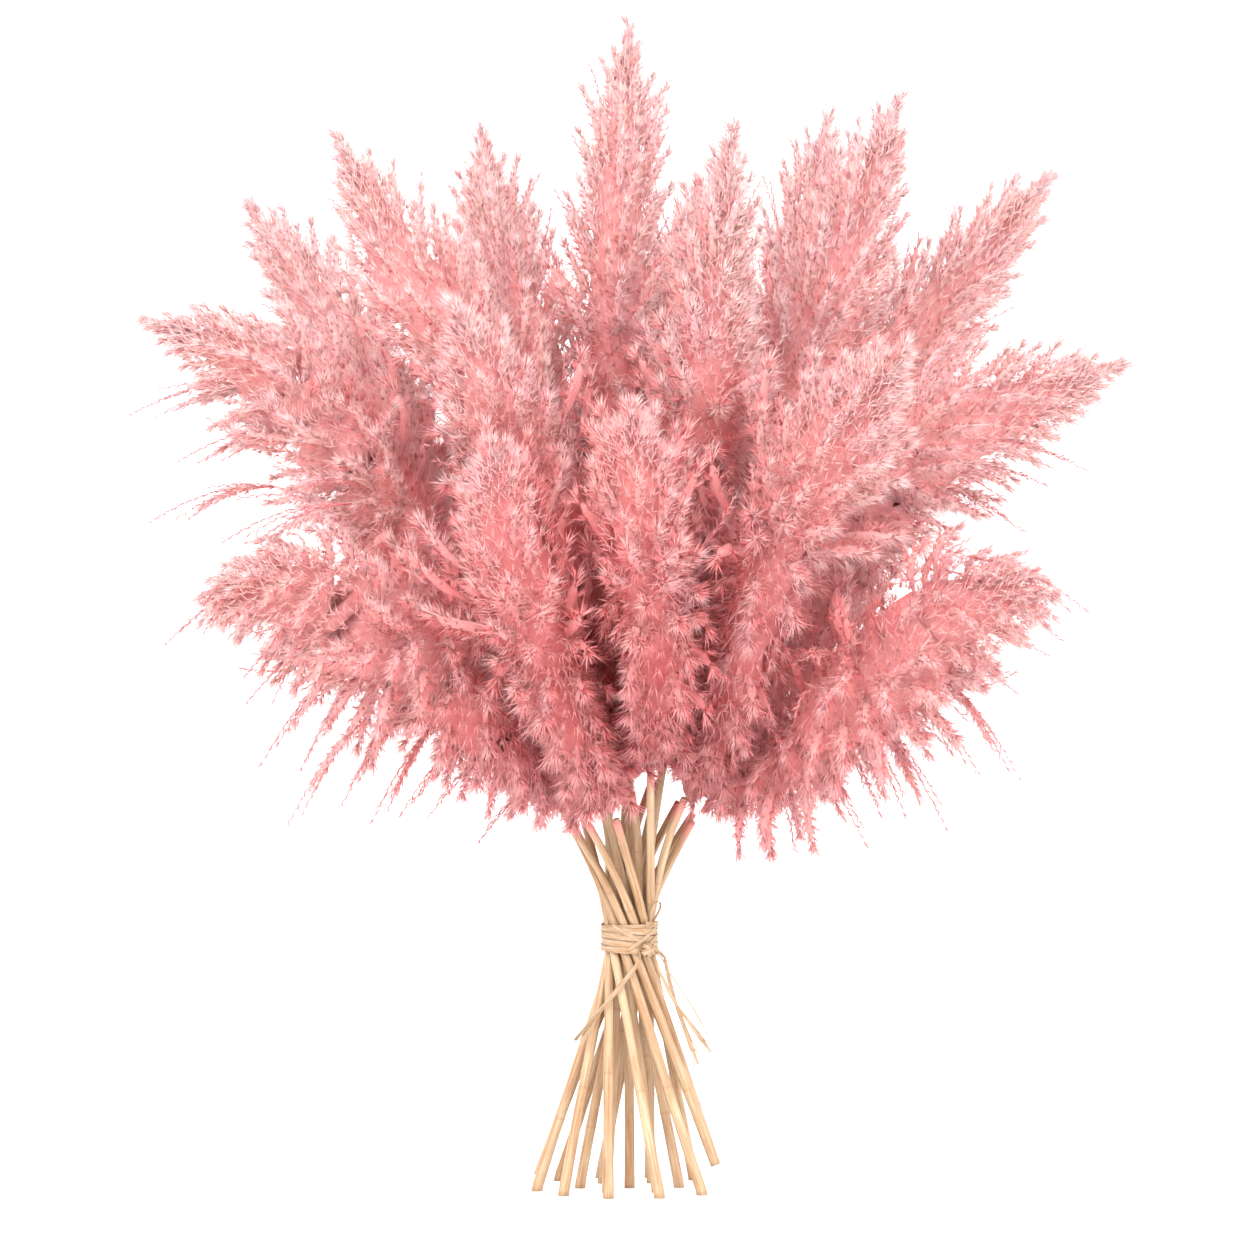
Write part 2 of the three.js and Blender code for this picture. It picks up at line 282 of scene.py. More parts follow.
def make_stem(node, seed):
    """A fluted rod along the stem's line, swollen at its joints, and level at its foot."""
    draw = random.Random(seed)
    middles, reaches = stem_rings(node)
    line = Line(middles)
    bm = bmesh.new()
    grain, joint = bm.loops.layers.uv.new("grain"), bm.loops.layers.uv.new("joint")
    bmesh.ops.create_cone(
        bm, cap_ends=True, segments=STEM_SIDES, radius1=1.0, radius2=1.0, depth=1.0, calc_uvs=True
    )
    uprights = [e for e in bm.edges if abs(e.verts[0].co.z - e.verts[1].co.z) > 0.5]
    bmesh.ops.subdivide_edges(bm, edges=uprights, cuts=STEM_CUTS, use_grid_fill=True)
    first = draw.uniform(0.2, 0.9) * STEM_JOINT_EVERY

    def past_joint(height):
        return (height - first + STEM_JOINT_EVERY / 2) % STEM_JOINT_EVERY - STEM_JOINT_EVERY / 2

    for face in bm.faces:
        cap = len(face.verts) > 4
        for loop in face.loops:
            share = loop.vert.co.z + 0.5
            offset = past_joint(share * line.length) / JOINT_MAP + 0.5
            up_it = SIDE_START + share * (1 - 2 * SIDE_START)
            loop[grain].uv = (0.5, seed) if cap else (loop[grain].uv.x, seed + up_it)
            loop[joint].uv = (min(max(offset, 0), 1), 0.5)
    mesh = bpy.data.meshes.new("stem")
    bm.to_mesh(mesh)
    places = places_of(mesh)
    share = places[:, 2] + 0.5
    angle = np.arctan2(places[:, 1], places[:, 0])
    height = share * line.length
    radius = np.interp(share, np.linspace(0, 1, len(reaches)), reaches)
    radius = radius + STEM_JOINT_SWELL * np.exp(-((past_joint(height) / JOINT_REACH) ** 2))
    radius = radius + STEM_FLUTE_DEPTH * np.sin(angle * STEM_FLUTES + draw.uniform(0, 6))
    wander = STEM_WANDER * np.sin(share * math.pi) * np.sin(share * 7 + draw.uniform(0, 6))
    hub = np.hypot(places[:, 0], places[:, 1])
    places = lay_along(
        line,
        share,
        radius * hub * np.cos(angle) + wander,
        radius * hub * np.sin(angle) + wander * draw.uniform(-1, 1),
        STEM_LEVEL,
    )
    set_places(mesh, places)
    bm.clear()
    bm.from_mesh(mesh)
    bpy.data.meshes.remove(mesh)
    if corners_of(node)[:, 2].min() < 0.1 * MM:
        for vert in bm.verts:
            if vert.co.z < middles[0][2] + TRIM:
                vert.co.z -= TRIM
        cut = bmesh.ops.bisect_plane(
            bm, geom=[*bm.verts, *bm.edges, *bm.faces], plane_co=(0, 0, 0), plane_no=(0, 0, 1),
            clear_inner=True,
        )
        rim = [e for e in cut["geom_cut"] if isinstance(e, bmesh.types.BMEdge)]
        bmesh.ops.holes_fill(bm, edges=rim, sides=0)
    bmesh.ops.recalc_face_normals(bm, faces=bm.faces)
    piece = to_object(bm, node.replace("stem", "culm"), straw)
    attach(piece, "root")
    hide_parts(node)


stems = sorted(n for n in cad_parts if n.startswith("stem_"))
for seed, node in enumerate(stems):
    make_stem(node, seed)

# ------------------------------------------------------------------------------------------------
# The tie. Raffia is a strip of dried palm leaf, three or four millimetres wide and as thin as
# card, that creases and splits along its fibres. It is wound round the stems where they cross, in
# two layers, and knotted at the front right, with one short bow loop and four loose ends.

RAFFIA_THICK = 0.4 * MM
WRAP_WIDTH = 3.3 * MM
WRAP_LAYERS = ((5.6, 1.15 * MM, 1), (4.4, 0.6 * MM, -1))  # turns, depth below the outside, way up
KNOT_ANGLE, LOOP_ANGLE = math.radians(-56), math.radians(-38)
# Strands that slant over the wraps: the shares of the band's height where each starts and ends,
# and the degrees round the tie where it starts and how far it goes.
CROSSING = ((0.16, 0.86, -96, 74), (0.1, 0.62, -74, 60), (0.88, 0.4, -128, 66))
CROSSING_WIDTH = 2.3 * MM
# The knot's strips: their tilt in degrees, and their depth, height and width in mm.
KNOT_STRIPS = ((90, 2.2, 4.2, 3.2), (32, 2.7, 4.4, 2.8), (142, 2.5, 4.3, 2.6), (12, 2.0, 4.0, 2.4))
LOOP_STRAND = 1.7 * MM
# Slivers split off a loose end: to which side, from what share of its length, and how wide.
SLIVERS = ((1, 0.45, 0.2), (-1, 0.62, 0.16), (1, 0.78, 0.12))
PLACES_PER_TURN = 18
UPRIGHT = np.array([0.0, 0.0, 1.0])
# The loose ends: their width, and their way from the middle of the tie, in mm.
LOOSE_ENDS = {
    "raffia_tail_front": (3.6, ((6.8, -19.4, -11.8), (1.5, -20.4, -19), (-4.2, -21.4, -26),
        (-9.8, -22, -32.8), (-15, -21.8, -39), (-20, -20.8, -45), (-24.8, -18.8, -51),
        (-29, -16, -56), (-32.6, -12.8, -60.6))),
    "raffia_tail_long": (2.5, ((15.2, -15.2, -11.4), (18.2, -15, -19.6), (21.8, -14.2, -27.6),
        (25.6, -13, -35.4), (30.2, -11.8, -42.8), (35.4, -10.4, -50), (40.4, -9.2, -56.8),
        (45, -8.2, -63), (48.6, -7.4, -68))),
    "raffia_tail_thread": (0.9, ((19, -11.6, -11.2), (22.4, -10.4, -18), (26.8, -9, -25),
        (31.6, -7.6, -32), (36.4, -6.2, -39.4), (41, -5, -47.4), (45.4, -3.8, -55.6),
        (50, -2.6, -63.4))),
    "raffia_tail_side": (3.0, ((21, -5.6, -11.4), (22.8, -5.4, -21), (25.2, -5.6, -30.6),
        (28, -6.2, -40), (31.2, -7, -49.4), (34.6, -8, -58.6), (38, -9, -67.4), (41, -9.8, -75))),
}


def raffia_material():
    """Fibres along the strip, in broad patches of lighter and darker straw."""
    material, shade = new_material("raffia")
    place = shade.add("ShaderNodeUVMap", {"uv_map": "grain"})
    long = place.add("ShaderNodeMapping", {}, {"Vector": place, "Scale": (9.0, 0.7, 1.0)})
    fibre = place.add(
        "ShaderNodeTexNoise", {}, {"Vector": long, "Scale": 1.0, "Detail": 6.0, "Roughness": 0.7}
    )
    broad = place.add("ShaderNodeMapping", {}, {"Vector": place, "Scale": (1.6, 0.9, 1.0)})
    blotch = place.add("ShaderNodeTexNoise", {}, {"Vector": broad, "Scale": 1.0, "Detail": 2.0})
    streaks = fibre.ramp(
        (0.30, colour(155, 122, 89)),
        (0.43, colour(165, 137, 109)),
        (0.57, colour(182, 159, 133)),
        (0.75, colour(199, 180, 157)),
    )
    patches = blotch.ramp((0.35, colour(226, 196, 160)), (0.62, WHITE))
    toned = (fibre * 0.4 + 0.6).blend(streaks, patches, "MULTIPLY")
    bumps = place.add("ShaderNodeBump", {}, {"Strength": 0.6, "Distance": 0.00025, "Height": fibre})
    surface = shade.add(
        "ShaderNodeBsdfPrincipled",
        {},
        {"Base Color": toned, "Roughness": fibre * 0.3 + 0.42, "Normal": bumps},
    )
    finish_material(shade, surface)
    return material


def between(pair, share):
    """The value at a share of the way from the first of a pair to the second."""
    return pair[0] + (pair[1] - pair[0]) * share


raffia = raffia_material()
band_low, band_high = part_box("raffia_wraps")
tie = (band_low + band_high) / 2
band_outside = (band_high.x - band_low.x) / 2


def add_strip(bm, line, width, level, draw, ends=(1.0, 1.0)):
    """A strip of raffia laid along a line, creased, with its width drawn in towards the ends."""
    strip = bmesh.new()
    grain = strip.loops.layers.uv.new("grain")
    steps = max(round(line.length / (1.6 * MM)), 8)
    bmesh.ops.create_grid(strip, x_segments=6, y_segments=steps, size=0.5)
    start = draw.uniform(0, 40)
    for face in strip.faces:
        for loop in face.loops:
            across, along = loop.vert.co.xy
            loop[grain].uv = (across * width / (4 * MM) + start, along * line.length / (10 * MM))
    bmesh.ops.solidify(strip, geom=strip.faces[:], thickness=1.0)
    bmesh.ops.recalc_face_normals(strip, faces=strip.faces)
    mesh = bpy.data.meshes.new("strip")
    strip.to_mesh(mesh)
    strip.free()
    places = places_of(mesh)
    share = places[:, 1] + 0.5
    spread = np.interp(share, (0, 0.12, 0.8, 1), (ends[0], 1, 1, ends[1]))
    spread *= 1 + 0.09 * np.sin(share * line.length / (6 * MM) + draw.uniform(0, 6))
    folds = np.cos(places[:, 0] * math.pi * 4 + draw.uniform(0, 6) + share * draw.uniform(-3, 3))
    above = (places[:, 2] - places[:, 2].min()) * RAFFIA_THICK + folds * 0.055 * width
    set_places(mesh, lay_along(line, share, places[:, 0] * width * spread, above, level))
    bm.from_mesh(mesh)
    bpy.data.meshes.remove(mesh)


def raffia_piece(bm, name, node):
    bmesh.ops.recalc_face_normals(bm, faces=bm.faces)
    piece = to_object(bm, name, raffia)
    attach(piece, "root")
    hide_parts(node)
    return piece


def round_tie(radius, angle, height):
    """A place beside the upright line through the tie."""
    return (tie.x + radius * math.cos(angle), tie.y + radius * math.sin(angle), height)


def make_wraps():
    """Two layers of turns that climb opposite ways, and a few strands across them."""
    draw = random.Random(5)
    bm = bmesh.new()
    for turns, under, way in WRAP_LAYERS:
        count = round(turns * PLACES_PER_TURN)
        lean, points = draw.uniform(0, 6), []
        for i in range(count + 1):
            share = i / count
            angle = KNOT_ANGLE + 2 * math.pi * turns * share
            rise = share if way > 0 else 1 - share
            room = band_high.z - band_low.z - WRAP_WIDTH * 1.25
            height = band_low.z + WRAP_WIDTH * 0.62 + room * rise
            tilt = 0.9 * MM * math.sin(angle + lean) * math.sin(math.pi * rise)
            waist = 0.5 * MM * math.sin(math.pi * rise) + 0.15 * MM * math.sin(angle * 3.3 + lean)
            points.append(round_tie(band_outside - under - waist, angle, height + tilt))
        add_strip(bm, Line(points), WRAP_WIDTH, UPRIGHT, draw)
    for low, high, start, sweep in CROSSING:
        points = []
        for i in range(9):
            angle = math.radians(start + sweep * i / 8)
            height = band_low.z + (band_high.z - band_low.z) * between((low, high), i / 8)
            points.append(round_tie(band_outside - 0.5 * MM, angle, height))
        add_strip(bm, Line(points), CROSSING_WIDTH, UPRIGHT, draw, (0.5, 0.5))
    raffia_piece(bm, "raffia_binding", "raffia_wraps")


def make_knot():
    """Strips turned over one another, and the strands that run from them to the loose ends."""
    draw = random.Random(6)
    bm = bmesh.new()
    low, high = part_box("raffia_knot")
    middle = (low + high) / 2
    out = Vector((math.cos(KNOT_ANGLE), math.sin(KNOT_ANGLE), 0))
    along = Vector((-out.y, out.x, 0))
    for tilt, deep, tall, width in KNOT_STRIPS:
        up = Vector((0, 0, 1)) * math.sin(math.radians(tilt)) + along * math.cos(math.radians(tilt))
        points = []
        for i in range(15):
            angle = math.radians(-140 + 280 * i / 14)
            over, above = deep * MM * math.cos(angle), tall * MM * math.sin(angle)
            points.append(middle + out * over + up * above)
        add_strip(bm, Line(points), width * MM, np.array(out.cross(up)), draw, (0.8, 0.8))
    for width, route in LOOSE_ENDS.values():
        end, after = tie + Vector(route[0]) * MM, tie + Vector(route[1]) * MM
        turn = math.atan2(end.y - tie.y, end.x - tie.x)
        points = []
        for i in range(4):
            angle = between((KNOT_ANGLE, turn), i / 3)
            points.append(round_tie(band_outside, angle, tie.z - (3.4 + 1.5 * i) * MM))
        points += [end, end + (after - end) * 0.2]
        add_strip(bm, Line(points), width * 0.7 * MM, UPRIGHT, draw, (0.8, 0.9))
    raffia_piece(bm, "raffia_bow_knot", "raffia_knot")


def make_loop():
    """The short bow loop, drawn out above the band. Its way is aside, out and up from its foot."""
    draw = random.Random(7)
    bm = bmesh.new()
    out = Vector((math.cos(LOOP_ANGLE), math.sin(LOOP_ANGLE), 0))
    aside = Vector((-out.y, out.x, 0))
    foot = Vector(round_tie(band_outside - 0.9 * MM, LOOP_ANGLE, band_high.z - 3 * MM))
    ways = ((-1.6, 0.0, 0), (-2.0, 0.9, 4.2), (-2.3, 1.9, 8.8), (-1.2, 3.2, 13.2), (1.8, 4.2, 14.6),
            (3.7, 4.0, 11.6), (3.0, 2.6, 7.4), (1.6, 1.0, 3.4), (0.6, 0.1, -0.4))
    points = [foot + (aside * a + out * b) * MM + Vector((0, 0, c * MM)) for a, b, c in ways]
    add_strip(bm, Line(points), LOOP_STRAND, np.array(out), draw, (0.8, 0.8))
    raffia_piece(bm, "raffia_bow_loop", "raffia_loop")


def make_loose_end(node, seed, width, route):
    """A strip with slivers split off its edges, or a bare thread where the strip is that thin."""
    draw = random.Random(seed)
    points = np.array(tie) + np.array(route) * MM
    line = Line(points)
    bm = bmesh.new()
    if width < 1:
        add_strip(bm, line, width * MM * 0.8, np.array([1.0, 0.3, 0.4]), draw, (1.0, 0.7))
    else:
        level = np.array([1.0, 0.25, 0.35])
        add_strip(bm, line, width * MM * 0.76, level, draw, (0.8, 0.75))
        for side, begin, thick in SLIVERS:
            shares = np.linspace(begin - 0.3, 1.0 - 0.05 * draw.random(), 8)
            away = np.clip((shares - begin) / (1 - begin), -0.2, 1) * width * 0.46 * MM
            split = lay_along(line, shares, side * (away + width * 0.22 * MM), away * 0.4, level)
            add_strip(bm, Line(split), width * MM * thick, level, draw, (0.6, 0.2))
    piece = raffia_piece(bm, node.replace("tail", "loose_end"), node)


make_wraps()
make_knot()
make_loop()
for seed, (node, (width, route)) in enumerate(LOOSE_ENDS.items()):
    make_loose_end(node, seed + 20, width, route)

# ------------------------------------------------------------------------------------------------
# The plumes. Each is the flower head of one stalk: a thin stalk with scores of drooping branches,
# and on these the small pointed spikelets, each in a fan of silky hairs. They are bleached and
# dyed pink, which leaves the hair tips nearly white. The coral of the depths is partly that dye
# and partly painted shade.

TASSEL_LENGTH = 74 * MM  # of the patterns, which are laid along the last part of each branch
HAIRY_LENGTH = 34 * MM
SPRAY_LENGTH = 58 * MM
HAIR_WIDTH = 0.68 * MM
HAIR_LENGTH = (6.5 * MM, 11.0 * MM)
SPIKELET = (5.4 * MM, 0.82 * MM)  # length and width
DOWN_RADIUS = 2.4 * MM
AREA_PER_TASSEL = 556 * MM * MM
AREA_PER_TUFT = 96 * MM * MM
TRUNK_SHARE = 0.6  # of the plume's own radius, that the packed inner down fills
TRUNK_SIDES, TRUNK_CUTS, TRUNK_LEAST = 13, 34, 3 * MM
SPRAYS_PER_TASSEL = 0.3
SHELTER_REACH = 62 * MM  # a neighbour nearer than this draws a branch's end towards it
SHELTERED = 24 * MM  # and nearer than this hides it
GOLDEN = math.pi * (3 - math.sqrt(5))
SPIKELET_TONES, DOWN_TONES = (0.52, 0.73), (0.77, 0.98)  # hairs have the tones under a half
SPRAY_SPIKELETS = 24
TUFT_HAIRS, TUFT_HAIR_WIDTH, TUFT_HAIR_LENGTH = 5, 0.9 * MM, (9 * MM, 13 * MM)
SHELTER_SHADE = 0.3  # a sheltered pattern's share of the place on the branch, which paints shade on it


def tilted(direction, angle, turn):
    """A direction leant off another by an angle, to the side that turn says."""
    side = direction.orthogonal().normalized()
    side.rotate(Matrix.Rotation(turn, 3, direction))
    return (direction * math.cos(angle) + side * math.sin(angle)).normalized()


def place_on_branch(height):
    """From 0 at the inner end of a pattern to 1 at its tip."""
    return min(max(1 + height / TASSEL_LENGTH, 0.01), 0.99)


def paint_shelter_shade(mesh, share):
    """Paints shade on a pattern for sheltered places, by drawing its place on the branch inwards.
    """
    for loop in mesh.uv_layers[0].data:
        loop.uv[1] *= share


def tint_new_faces(bm, done, root, direction, length, tones):
    """Marks the faces made since done with their tone from root to tip and place on the branch."""
    tint = bm.loops.layers.uv.verify()
    bm.faces.ensure_lookup_table()
    for face in bm.faces[done:]:
        for loop in face.loops:
            share = min(max((loop.vert.co - root).dot(direction) / length, 0), 1)
            loop[tint].uv = (between(tones, share), place_on_branch(loop.vert.co.z))


def add_needle(bm, root, direction, length, width, tones):
    """A hair or a spikelet: a slender closed cone."""
    done = len(bm.faces)
    turned = direction.to_track_quat("Z", "Y").to_matrix().to_4x4()
    place = Matrix.Translation(root) @ turned @ Matrix.Translation((0, 0, length / 2))
    bmesh.ops.create_cone(
        bm, cap_ends=True, segments=3, radius1=width / 2, radius2=0, depth=length, matrix=place
    )
    tint_new_faces(bm, done, root, direction, length, tones)


def add_thread(bm, thick, cuts):
    """The branch's own fine stalk, with rings to bend at."""
    done = len(bm.faces)
    place = Matrix.Translation((0, 0, -TASSEL_LENGTH / 2))
    bmesh.ops.create_cone(
        bm, cap_ends=True, segments=3, radius1=thick, radius2=thick / 3, depth=TASSEL_LENGTH,
        matrix=place,
    )
    bm.faces.ensure_lookup_table()
    new = {e for f in bm.faces[done:] for e in f.edges}
    long = [e for e in new if e.calc_length() > TASSEL_LENGTH / 2]
    bmesh.ops.subdivide_edges(bm, edges=long, cuts=cuts, use_grid_fill=True)
    inner_end = Vector((0, 0, -TASSEL_LENGTH))
    tint_new_faces(bm, done, inner_end, Vector((0, 0, 1)), TASSEL_LENGTH, SPIKELET_TONES)


def add_down(bm, draw, radius, low, high):
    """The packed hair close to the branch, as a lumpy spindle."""
    done = len(bm.faces)
    size = Matrix.Diagonal((radius, radius, (high - low) / 2, 1))
    place = Matrix.Translation((0, 0, (high + low) / 2)) @ size
    made = bmesh.ops.create_uvsphere(bm, u_segments=5, v_segments=7, radius=1.0, matrix=place)
    for vert in made["verts"]:
        lump = draw.uniform(0.7, 1.35)
        vert.co.x *= lump
        vert.co.y *= lump
    tint = bm.loops.layers.uv.verify()
    tones = {vert: draw.uniform(*DOWN_TONES) for vert in made["verts"]}
    bm.faces.ensure_lookup_table()
    for face in bm.faces[done:]:
        for loop in face.loops:
            loop[tint].uv = (tones[loop.vert], place_on_branch(loop.vert.co.z))


def make_tassel(seed, clumps, hairs, width):
    """A soft branch end: down, and clumps of a spikelet in its fan of hairs, up to a star."""
    draw = random.Random(seed)
    bm = bmesh.new()
    bm.loops.layers.uv.new("OFBake")
    add_thread(bm, 0.3 * MM, cuts=5)
    add_down(bm, draw, DOWN_RADIUS, -1.1 * HAIRY_LENGTH, -0.06 * HAIRY_LENGTH)
    up = Vector((0, 0, 1))
    for k in range(clumps):
        share = ((k + draw.uniform(0, 0.8)) / (clumps - 1)) ** 0.85
        share = min(share, 1.0)
        turn = k * GOLDEN + draw.uniform(-0.4, 0.4)
        lean = math.radians(between((66, 16), share**1.3) + draw.uniform(-9, 9))
        aim = tilted(up, lean, turn)
        swell = DOWN_RADIUS * 0.8 * math.sin(math.pi * min(0.15 + 0.8 * share, 0.97))
        side = Vector((aim.x, aim.y, 0)).normalized() * swell
        root = side - up * (HAIRY_LENGTH * (1 - share))
        if draw.random() < 0.5:
            length = SPIKELET[0] * draw.uniform(0.7, 1.2)
            near = tilted(aim, math.radians(draw.uniform(0, 20)), draw.uniform(0, 6.28))
            lift = near * draw.uniform(2.5, 5.0) * MM
            add_needle(bm, root + lift, near, length, SPIKELET[1], SPIKELET_TONES)
        for i in range(hairs + (3 if share > 0.9 else 0)):
            fan = math.radians(draw.uniform(6, 32))
            way = tilted(aim, fan, i * GOLDEN + draw.uniform(-0.5, 0.5))
            tones = (draw.uniform(0.04, 0.16), draw.uniform(0.30, 0.48))
            length = draw.uniform(*HAIR_LENGTH) * (1.3 if share > 0.9 else 1.0)
            add_needle(bm, root, way, length, width * draw.uniform(0.75, 1.2), tones)
    return to_mesh(bm, "tassel")


def make_spray(seed):
    """A feathery branch end: a thread with spikelets all the way, each with two or three hairs."""
    draw = random.Random(seed)
    bm = bmesh.new()
    bm.loops.layers.uv.new("OFBake")
    add_thread(bm, 0.42 * MM, cuts=6)
    up = Vector((0, 0, 1))
    for k in range(SPRAY_SPIKELETS):
        share = k / (SPRAY_SPIKELETS - 1)
        size = 1.15 - 0.45 * share
        aim = tilted(up, math.radians(draw.uniform(14, 34)), k * GOLDEN + draw.uniform(-0.5, 0.5))
        root = up * (-SPRAY_LENGTH * (1 - share) ** 1.1)
        length = SPIKELET[0] * draw.uniform(0.8, 1.2) * size
        add_needle(bm, root, aim, length, SPIKELET[1] * 1.1, SPIKELET_TONES)
        for _ in range(3 if k % 2 else 2):
            way = tilted(aim, math.radians(draw.uniform(4, 26)), draw.uniform(0, 6.28))
            tones = (0.0, draw.uniform(0.1, 0.3))
            length = draw.uniform(7 * MM, 10.5 * MM) * size
            add_needle(bm, root, way, length, HAIR_WIDTH * 0.9, tones)
    return to_mesh(bm, "spray")


def make_tuft(seed):
    """A clump of hairs straight on the packed down."""
    draw = random.Random(seed)
    bm = bmesh.new()
    bm.loops.layers.uv.new("OFBake")
    up = Vector((0, 0, 1))
    for i in range(TUFT_HAIRS):
        way = tilted(up, math.radians(draw.uniform(8, 38)), i * GOLDEN + draw.uniform(-0.5, 0.5))
        root = Vector((draw.uniform(-1, 1), draw.uniform(-1, 1), -1)) * 1.5 * MM
        tones = (draw.uniform(0.04, 0.12), draw.uniform(0.24, 0.42))
        add_needle(bm, root, way, draw.uniform(*TUFT_HAIR_LENGTH), TUFT_HAIR_WIDTH, tones)
    tint = bm.loops.layers.uv.verify()
    for face in bm.faces:
        for loop in face.loops:
            loop[tint].uv.y = 0.5
    return to_mesh(bm, "tuft")


tufts = [make_tuft(300 + i) for i in range(5)]
shaded_tufts = [make_tuft(320 + i) for i in range(3)]
full_tassels = [make_tassel(100 + i, 24, 6, HAIR_WIDTH) for i in range(7)]
thin_tassels = [make_tassel(150 + i, 10, 5, 1.5 * HAIR_WIDTH) for i in range(4)]
sprays = [make_spray(200 + i) for i in range(4)]
# Painted shade on the thin tassels and the tufts for sheltered places.
for mesh in [*thin_tassels, *shaded_tufts]:
    paint_shelter_shade(mesh, SHELTER_SHADE)
patterns = {
    mesh: places_of(mesh) for mesh in [*full_tassels, *thin_tassels, *sprays, *tufts, *shaded_tufts]
}


def lit(base, share):
    """A colour brought a share of the way to white."""
    return tuple(c + (1.0 - c) * share for c in base)


# Painted shade darkens the hair round this place, low in the middle where the heads come together.
PAINTED_SHADE_AT = (0, 0, -0.27)  # where the heads come together, taken away from each place
HAIR_GLOW = 0.55  # the share of light that goes through the hair


def plume_material(name, light):
    """Hair, spikelets and down each have their stretch of tones, deeper towards the inner end
    (partly the dye, partly painted shade) and darkened with painted shade where the heads come
    together, low in the middle."""
    material, shade = new_material(name)
    place = shade.add("ShaderNodeUVMap", {"uv_map": "OFBake"})
    tone = place.add("ShaderNodeSeparateXYZ", {}, {0: place})
    out = Shade(tone.tree, tone.socket.node.outputs[1])
    own = tone.ramp(
        (0.0, lit(colour(255, 228, 227), light)),
        (0.2, lit(colour(255, 241, 240), light)),
        (0.49, lit(colour(255, 252, 252), light)),
        (0.50, lit(colour(220, 104, 118), light)),
        (0.74, lit(colour(246, 164, 172), light)),
        (0.76, lit(colour(255, 226, 224), light)),
        (1.0, lit(colour(255, 241, 240), light)),
    )
    # Deeper towards the inner end of each branch: partly the dye, partly painted shade of the
    # plume's inside.
    depth = out.ramp(
        (0.08, colour(242, 134, 139)),
        (0.32, colour(255, 222, 222)),
        (0.7, colour(255, 246, 246)),
        (0.93, WHITE),
    )
    spot = place.add("ShaderNodeTexCoord", output=3)
    patch = place.add("ShaderNodeTexNoise", {}, {"Vector": spot, "Scale": 30.0, "Detail": 2.0})
    fluff = place.add(
        "ShaderNodeTexNoise", {}, {"Vector": spot, "Scale": 620.0, "Detail": 3.0, "Distortion": 1.2}
    )
    moved = place.add(
        "ShaderNodeMapping", {}, {"Vector": spot, "Location": PAINTED_SHADE_AT, "Scale": (1, 0.6, 1)}
    )
    spread = place.add("ShaderNodeVectorMath", {"operation": "LENGTH"}, {0: moved}, output=1)
    # Painted shade: darker the nearer a place is to where the heads come together.
    painted_bunch_shade = spread.ramp(
        (0.05, colour(230, 150, 155)),
        (0.13, colour(250, 208, 209)),
        (0.24, colour(255, 244, 244)),
        (0.34, WHITE),
    )
    warmth = patch.ramp((0.35, colour(255, 247, 241)), (0.65, colour(255, 252, 254)))
    matted = fluff.ramp((0.38, colour(228, 154, 156)), (0.60, WHITE))
    is_down = tone > 0.755
    painted = own.times(depth).times(warmth).times(painted_bunch_shade)
    painted = (is_down * 0.8).blend(painted, matted, "MULTIPLY")
    bumps = place.add(
        "ShaderNodeBump", {}, {"Strength": 0.9, "Distance": 0.0015, "Height": fluff * is_down}
    )
    front = shade.add(
        "ShaderNodeBsdfPrincipled",
        {},
        {"Base Color": painted, "Roughness": 0.7, "Specular IOR Level": 0.25, "Normal": bumps},
    )
    glow = (*lit(colour(255, 244, 243), light), 1.0)
    through = shade.add("ShaderNodeBsdfTranslucent", {}, {"Color": glow})
    surface = shade.add("ShaderNodeMixShader", {}, {0: HAIR_GLOW, 1: front, 2: through})
    finish_material(shade, surface)
    return material


# The pale copy is the hair painted lighter, as painted light on the heads at the front.
plume_tones = {
    "pale": plume_material("dyed_hair_painted_lit", 0.15),
    "rose": plume_material("dyed_hair_rose", 0.0),
}


# How far the middle of a plume hangs to the side and upwards, and how much fuller it is, in mm.
BODY_LEAN = {
    "plume_centre": (-9, 0, 6), "plume_inner_01": (-8, 0, 3), "plume_inner_03": (9, 0, 10),
    "plume_inner_04": (12, 6, 3), "plume_inner_06": (-3, 0, 2), "plume_outer_01": (-9, 25, 2),
    "plume_outer_02": (-17, 15, 2), "plume_outer_05": (4, 0, 9), "plume_outer_06": (12, 7, 7),
    "plume_outer_07": (3, 7, 3), "plume_outer_08": (0, 8, 2), "plume_outer_12": (0, -12, 1),
}


def plume_axis(node, stem):
    """The line up the middle of a plume, from its neck to its tip, and its outside to aim at."""
    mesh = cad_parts[node].data
    corners = corners_of(node)
    neck = stem_rings(stem)[0][-1]
    base = corners[np.argmin(np.linalg.norm(corners - neck, axis=1))]
    away = np.linalg.norm(corners - base, axis=1)
    tip = corners[np.argmax(away)]
    aside, up, _ = BODY_LEAN.get(node, (0, 0, 0))
    swing = np.sin(math.pi * away / away.max())[:, None] * np.array([aside, 0, up]) * MM
    corners = corners + swing
    rounds = []
    shells = np.linspace(0, away.max(), 11)
    half = shells[1] / 2
    for low, high in zip(shells[1:-1], shells[2:]):
        near = (away > low - half) & (away <= high - half)
        if near.sum() > 5:
            rounds.append((corners[near].min(0) + corners[near].max(0)) / 2)
    area = sum(p.area for p in mesh.polygons)
    return Line([base, *rounds[:-1], tip]), [Vector(c) for c in corners], area


heads = sorted(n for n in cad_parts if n.startswith("plume_"))
head_shapes = {node: plume_axis(node, node.replace("plume", "stem")) for node in heads}
head_faces = {
    node: [tuple(p.vertices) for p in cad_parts[node].data.polygons] for node in heads
}
every_corner, every_face = [], []
for node in heads:
    first = len(every_corner)
    every_corner += head_shapes[node][1]
    every_face += [tuple(first + i for i in face) for face in head_faces[node]]
all_heads = BVHTree.FromPolygons(every_corner, every_face)


